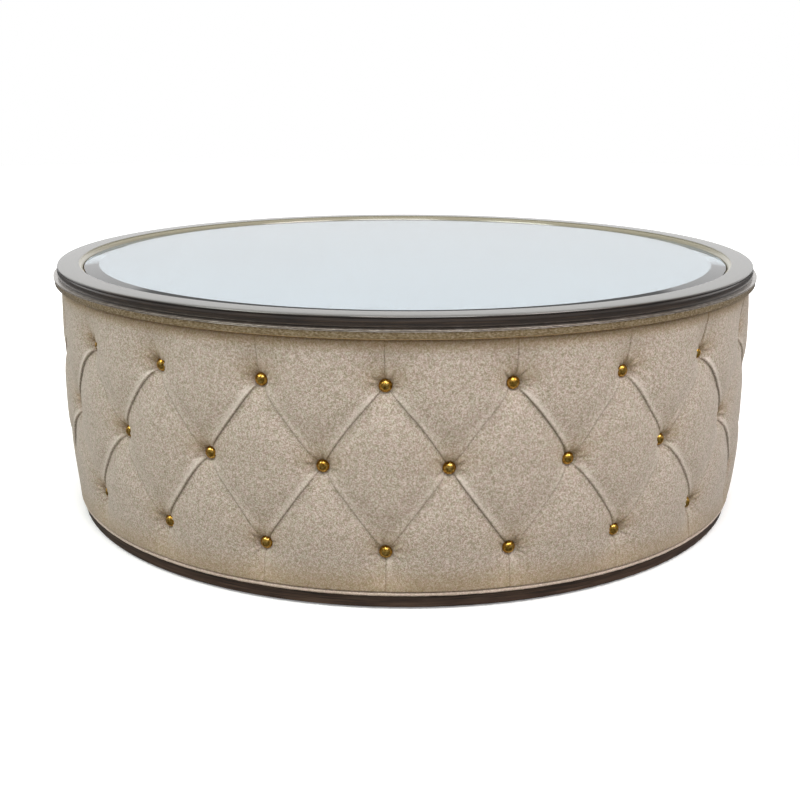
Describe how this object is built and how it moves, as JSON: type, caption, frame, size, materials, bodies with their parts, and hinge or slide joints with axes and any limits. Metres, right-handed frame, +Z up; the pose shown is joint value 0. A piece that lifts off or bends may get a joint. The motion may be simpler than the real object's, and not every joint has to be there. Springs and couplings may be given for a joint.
{
  "type": "coffee table",
  "caption": "Round drum coffee table with a deep-buttoned upholstered side, a wooden plinth and a bevelled mirror top in a moulded rim.",
  "frame": {"origin": "on the floor under the middle of the table", "axes": "+Z up along the drum's axis, -Y to the front, where a button of the upper row looks straight out"},
  "size_m": [1.2192, 1.2192, 0.4235],
  "materials": {
    "dark_stained_wood": "satin dark brown stain",
    "champagne_leaf": "aged champagne leaf under lacquer",
    "plywood": "raw, sanded",
    "hardwood": "raw, planed",
    "hardboard": "raw",
    "foam": "open-cell foam",
    "tweed": "fine woven tweed, beige and taupe",
    "welt_tweed": "the same tweed over a cord",
    "black_cambric": "matt",
    "waxed_twine": "waxed",
    "antique_brass": "polished, slightly aged",
    "disc_plastic": "matt",
    "zinc_steel": "zinc plated",
    "pad_plastic": "matt nylon",
    "mastic": "cured mirror mastic",
    "silvering": "silvered and backed",
    "clear_glass": "polished, bevelled edge"
  },
  "bodies": {
    "table": {"plinth_ring": "dark_stained_wood", "top_rim": "dark_stained_wood", "leaf_band": "champagne_leaf", "bead_ring": "champagne_leaf", "base_panel": "plywood", "top_panel": "plywood", "drum_skin": "plywood", "middle_hoop": "plywood", "upper_hoop": "plywood", "lower_ribs": "plywood", "upper_ribs": "plywood", "cross_rail_long": "hardwood", "cross_rail_short": "hardwood", "rail_dowels": "hardwood", "mirror_bed": "hardboard", "foam_layer": "foam", "tufted_cover": "tweed", "welt_cord": "welt_tweed", "dust_cover": "black_cambric", "button_ties": "waxed_twine", "tie_discs": "disc_plastic", "upper_buttons": "antique_brass", "middle_buttons": "antique_brass", "lower_buttons": "antique_brass", "plinth_screws": "zinc_steel", "rib_screws": "zinc_steel", "panel_screws": "zinc_steel", "rim_screws": "zinc_steel", "tee_nuts": "zinc_steel", "mirror_mastic": "mastic", "mirror_silvering": "silvering", "mirror_glass": "clear_glass"},
    "glide_1": {"glide_stem_1": "zinc_steel", "glide_pad_1": "pad_plastic"},
    "glide_2": {"glide_stem_2": "zinc_steel", "glide_pad_2": "pad_plastic"},
    "glide_3": {"glide_stem_3": "zinc_steel", "glide_pad_3": "pad_plastic"},
    "glide_4": {"glide_stem_4": "zinc_steel", "glide_pad_4": "pad_plastic"}
  },
  "joints": [
    {"name": "glide_1_travel", "type": "slide", "parent": "table", "child": "glide_1", "axis": [0, 0, -1], "range_m": [0, 0.012]},
    {"name": "glide_2_travel", "type": "slide", "parent": "table", "child": "glide_2", "axis": [0, 0, -1], "range_m": [0, 0.012]},
    {"name": "glide_3_travel", "type": "slide", "parent": "table", "child": "glide_3", "axis": [0, 0, -1], "range_m": [0, 0.012]},
    {"name": "glide_4_travel", "type": "slide", "parent": "table", "child": "glide_4", "axis": [0, 0, -1], "range_m": [0, 0.012]}
  ]
}
